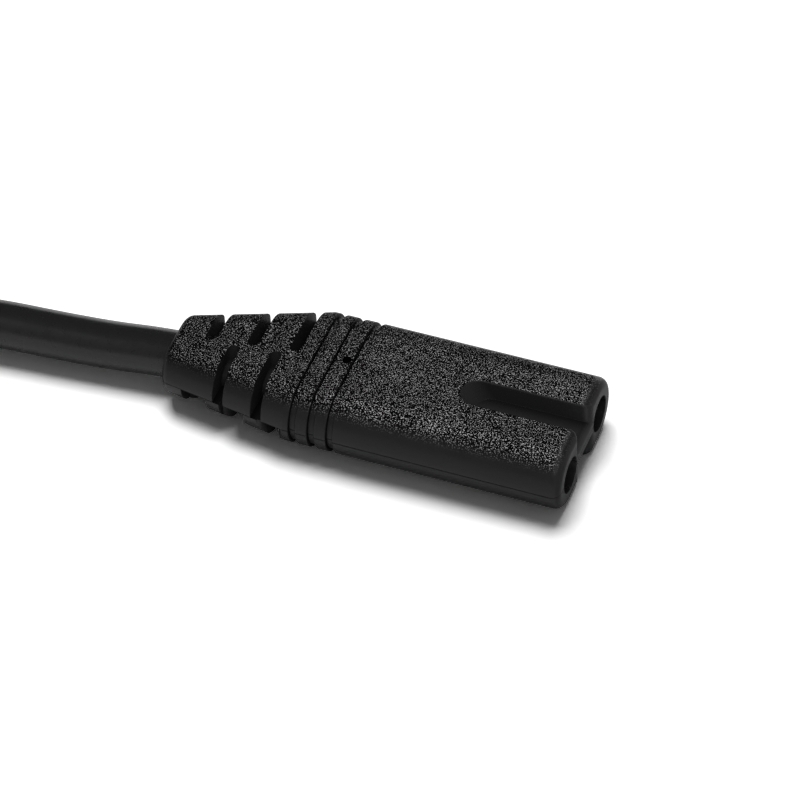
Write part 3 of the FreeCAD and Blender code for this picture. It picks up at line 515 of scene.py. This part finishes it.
def hank_points(settings):
    """Points of the hank's turns.

    Late in its turn the cord moves over to the next turn's place, last turn first.
    """
    near, far, middle, base = hank_sizes(settings)
    run = near - far
    mean = settings.fold_radius + settings.diameter * (HANK_COLUMNS - 1) / 2
    whole = 2 * run + 2 * math.pi * mean
    leave = run + math.pi * mean + TAIL_POINTS[0][0] - far
    lag = (whole - leave) / len(TURN_PLACES)
    last = len(TURN_PLACES) - 1
    points = []
    for turn, (column, layer) in enumerate(TURN_PLACES):
        next_column, next_layer = TURN_PLACES[min(turn + 1, last)]
        start = leave + (last - 1 - turn) * lag
        for step in range(settings.turn_points):
            distance = whole * step / settings.turn_points
            if turn == last and distance > leave - settings.diameter:
                break
            # Share of the way to the next place, eased at both ends
            share = min(max((distance - start) / (2 * lag), 0.0), 1.0)
            share = share * share * (3 - 2 * share)
            across = column + share * (next_column - column)
            up = layer + share * (next_layer - layer)
            radius = settings.fold_radius + across * settings.diameter
            x, y = place_on_loop(distance, radius, mean, near, far, middle)
            points.append((x, y, base + settings.diameter * (up + 0.5)))
    return points


def cord_points(settings):
    """Control points of the whole cord, from inside the relief to inside the plug."""
    low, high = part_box("connector_body")
    start = [(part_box("cord_lead")[1].x, -settings.lean, (low.z + high.z) / 2)]
    low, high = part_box("plug_body")
    axis = ((low.y + high.y) / 2, (low.z + high.z) / 2)
    end = [(high.x, *axis), (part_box("cord_tail")[0].x, *axis)]
    return start + LEAD_POINTS + hank_points(settings) + TAIL_POINTS + end


def rounded_loop(low, high, radius, depth):
    """Points of a rounded rectangle in the YZ plane, at a depth inside a box."""
    middles = ((high.y - radius, high.z - radius), (low.y + radius, high.z - radius),
               (low.y + radius, low.z + radius), (high.y - radius, low.z + radius))
    points = []
    for quarter, (y, z) in enumerate(middles):
        for step in range(CORNER_STEPS + 1):
            angle = (quarter + step / CORNER_STEPS) * math.pi / 2
            points.append((y + (radius - depth) * math.cos(angle), z + (radius - depth) * math.sin(angle)))
    return points


def make_strap(settings, material):
    """Strap that bends round the outer turns of the hank."""
    low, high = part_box("hank_tie")
    radius = settings.strap + settings.diameter / 2
    edge = settings.strap / 2
    section = ((low.x + edge, 0.0), (high.x - edge, 0.0), (high.x, edge),
               (high.x - edge, settings.strap), (low.x + edge, settings.strap), (low.x, edge))
    points = [(x, *place) for x, depth in section for place in rounded_loop(low, high, radius, depth)]
    count = len(points) // len(section)
    faces = []
    for ring in range(len(section)):
        following_ring = (ring + 1) % len(section)
        for step in range(count):
            following = (step + 1) % count
            faces.append((ring * count + step, ring * count + following,
                          following_ring * count + following, following_ring * count + step))
    mesh = bpy.data.meshes.new("strap")
    mesh.from_pydata(points, [], faces)
    mesh.polygons.foreach_set("use_smooth", [True] * len(faces))
    mesh.set_sharp_from_angle(angle=SHARP_ANGLE)
    mesh.materials.append(material)
    strap = bpy.data.objects.new("strap", mesh)
    bpy.context.collection.objects.link(strap)
    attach(strap, BODY)
    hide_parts("hank_tie")


def make_cord(settings, material):
    """One smooth round cord along its route, with the strap and the plug on it."""
    curve = bpy.data.curves.new("cord", "CURVE")
    curve.dimensions = "3D"
    curve.bevel_depth = settings.diameter / 2
    curve.bevel_resolution = 5
    curve.resolution_u = 6
    curve.use_fill_caps = True
    spline = curve.splines.new("NURBS")
    points = cord_points(settings)
    spline.points.add(len(points) - 1)
    for point, place in zip(spline.points, points):
        point.co = (*place, 1.0)
    spline.order_u = 3
    spline.use_endpoint_u = True
    curve.materials.append(material)
    cord = bpy.data.objects.new("power_cord", curve)
    bpy.context.collection.objects.link(cord)
    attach(cord, BODY)
    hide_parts("cord_lead", "cord_hank", "cord_tail")


# Stage
def camera_axes(azimuth, elevation, roll):
    """Right, up and back directions of a camera that looks down at the origin."""
    back = Vector((math.sin(azimuth) * math.cos(elevation), -math.cos(azimuth) * math.cos(elevation),
                   math.sin(elevation)))
    right = Vector((math.cos(azimuth), math.sin(azimuth), 0.0))
    up = back.cross(right)
    turned_right = right * math.cos(roll) + up * math.sin(roll)
    turned_up = up * math.cos(roll) - right * math.sin(roll)
    return turned_right, turned_up, back


def make_camera(settings):
    """Camera that sees the middle of the mating face at its pixel in the photograph."""
    low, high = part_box("connector_body")
    face = Vector((high.x, 0.0, (low.z + high.z) / 2))
    right, up, back = camera_axes(settings.azimuth, settings.elevation, settings.roll)
    pixel = SENSOR_MM / settings.lens / IMAGE_SIDE * settings.distance
    across = (settings.aim[0] - IMAGE_SIDE / 2) * pixel
    above = (IMAGE_SIDE / 2 - settings.aim[1]) * pixel
    data = bpy.data.cameras.new("camera")
    data.lens = settings.lens
    data.sensor_width = SENSOR_MM
    data.clip_start = CLIP_START
    camera = bpy.data.objects.new("camera", data)
    place = face + back * settings.distance - right * across - up * above
    turn = Matrix((right, up, back)).transposed().to_4x4()
    camera.matrix_world = Matrix.Translation(place) @ turn
    bpy.context.collection.objects.link(camera)
    bpy.context.scene.camera = camera


def make_floor(settings):
    """Wide pale floor with a low wall round it."""
    corners = [(x * FLOOR_REACH, y * FLOOR_REACH) for x, y in ((-1, -1), (1, -1), (1, 1), (-1, 1))]
    points = [(x, y, z) for z in (0.0, WALL_HEIGHT) for x, y in corners]
    walls = [(n, (n + 1) % 4, 4 + (n + 1) % 4, 4 + n) for n in range(4)]
    mesh = bpy.data.meshes.new("floor")
    mesh.from_pydata(points, [], [(0, 1, 2, 3)] + walls)
    mesh.materials.append(floor_card(settings))
    floor = bpy.data.objects.new("floor", mesh)
    bpy.context.collection.objects.link(floor)


def add_light(name, place, side, power, receivers):
    """Square soft light that faces the origin and lights only its receivers."""
    data = bpy.data.lights.new(name, "AREA")
    data.size = side
    data.energy = power
    light = bpy.data.objects.new(name, data)
    light.location = place
    light.rotation_euler = Vector(place).to_track_quat("Z", "Y").to_euler()
    bpy.context.collection.objects.link(light)
    light.light_linking.receiver_collection = bpy.data.collections.new("lit_by_" + name)
    for item in receivers:
        light.light_linking.receiver_collection.objects.link(item)


def make_lights(settings):
    """Softbox in front of the object, one behind it for its shadow on the floor, and a dim even room."""
    nodes = list(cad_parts.values())
    made = [bpy.data.objects[name] for name in ("power_cord", "strap")]
    floor = [bpy.data.objects["floor"]]
    add_light("front_softbox", settings.front_place, settings.softbox, settings.front_power, nodes + made)
    add_light("back_softbox", settings.back_place, settings.softbox, settings.back_power, nodes + floor)
    world = bpy.data.worlds.new("studio")
    world.use_nodes = True
    background = world.node_tree.nodes["Background"]
    set_inputs(background, {"Color": (1.0, 1.0, 1.0, 1.0), "Strength": settings.room})
    bpy.context.scene.world = world
    bpy.context.scene.view_settings.view_transform = "Standard"


# Operators
class CONNECTOR_OT_strap(bpy.types.Operator):
    """Wrap the strap round the hank"""

    bl_idname = "connector.strap"
    bl_label = "Wrap Strap"

    def execute(self, context):
        scene = context.scene
        make_strap(scene.connector_cord, strap_nylon(scene.connector_finish, scene.connector_colours))
        return {"FINISHED"}


class CONNECTOR_OT_cord(bpy.types.Operator):
    """Lay the cord out along its route and through its hank"""

    bl_idname = "connector.cord"
    bl_label = "Lay Out Cord"

    def execute(self, context):
        scene = context.scene
        make_cord(scene.connector_cord, jacket_pvc(scene.connector_finish, scene.connector_colours))
        return {"FINISHED"}


class CONNECTOR_OT_body(bpy.types.Operator):
    """Finish the moulded body of the connector"""

    bl_idname = "connector.body"
    bl_label = "Finish Body"

    def execute(self, context):
        sizes, colours = context.scene.connector_finish, context.scene.connector_colours
        finish("connector_body", connector_pvc(sizes, colours))
        return {"FINISHED"}


class CONNECTOR_OT_contacts(bpy.types.Operator):
    """Finish the contacts with their carrier, and the cores and conductors at both ends of the cord"""

    bl_idname = "connector.contacts"
    bl_label = "Finish Contacts and Cores"

    def execute(self, context):
        sizes, colours = context.scene.connector_finish, context.scene.connector_colours
        nylon = smooth_plastic("moulded_black_nylon", sizes, colours.carrier, roughness=0.5)
        finish("contact_carrier", nylon)
        brass = banded_metal(
            "turned_brass", sizes, colours.contact, roughness=0.3, pitch=sizes.tool_mark)
        copper = banded_metal(
            "stranded_copper", sizes, colours.conductor, roughness=0.35, pitch=sizes.strand_lay)
        for side, code in zip(SIDES, (colours.core_left, colours.core_right)):
            insulation = smooth_plastic("extruded_core_pvc_" + side, sizes, code, roughness=0.35)
            finish("contact_" + side, brass)
            for end in ("", "plug_"):
                finish(end + "conductor_" + side, copper)
                finish(end + "core_" + side, insulation)
        return {"FINISHED"}


class CONNECTOR_OT_plug(bpy.types.Operator):
    """Finish the plug, its pins and its bridge"""

    bl_idname = "connector.plug"
    bl_label = "Finish Plug"

    def execute(self, context):
        sizes, colours = context.scene.connector_finish, context.scene.connector_colours
        finish("plug_body", plug_pvc(sizes, colours))
        finish("plug_bridge", smooth_plastic("moulded_grey_nylon", sizes, colours.bridge, roughness=0.5))
        nickel = banded_metal(
            "nickel_plated_brass", sizes, colours.pin, roughness=0.2, pitch=sizes.tool_mark)
        sleeve = smooth_plastic("moulded_sleeve_nylon", sizes, colours.sleeve, roughness=0.45)
        for side in SIDES:
            finish("plug_pin_" + side, nickel)
            finish("pin_sleeve_" + side, sleeve)
        return {"FINISHED"}


class CONNECTOR_OT_stage(bpy.types.Operator):
    """Make the camera, the floor and the lights"""

    bl_idname = "connector.stage"
    bl_label = "Set Up Stage"

    def execute(self, context):
        settings = context.scene.connector_stage
        make_camera(settings)
        make_floor(settings)
        make_lights(settings)
        return {"FINISHED"}


class CONNECTOR_PT_panel(bpy.types.Panel):
    """Settings and steps of the connector"""

    bl_label = "Figure Eight Connector"
    bl_space_type = "VIEW_3D"
    bl_region_type = "UI"
    bl_category = "Connector"

    def draw(self, context):
        for group, kind in GROUPS.items():
            box = self.layout.box()
            for name in kind.__annotations__:
                box.prop(getattr(context.scene, group), name)
        for step in STEPS:
            self.layout.operator("connector." + step)


STEPS = ("strap", "cord", "body", "contacts", "plug", "stage")
GROUPS = {
    "connector_cord": CordSettings,
    "connector_finish": FinishSettings,
    "connector_colours": ColourSettings,
    "connector_stage": StageSettings,
}
CLASSES = (*GROUPS.values(), CONNECTOR_OT_strap, CONNECTOR_OT_cord, CONNECTOR_OT_body, CONNECTOR_OT_contacts,
           CONNECTOR_OT_plug, CONNECTOR_OT_stage, CONNECTOR_PT_panel)


def register():
    """Register the add-on's classes and settings."""
    for item in CLASSES:
        bpy.utils.register_class(item)
    for group, kind in GROUPS.items():
        setattr(bpy.types.Scene, group, PointerProperty(type=kind))


def unregister():
    """Remove the add-on's settings and classes."""
    for group in GROUPS:
        delattr(bpy.types.Scene, group)
    for item in reversed(CLASSES):
        bpy.utils.unregister_class(item)


def main():
    """Make the whole scene."""
    register()
    for step in STEPS:
        getattr(bpy.ops.connector, step)()


if __name__ == "__main__":
    main()
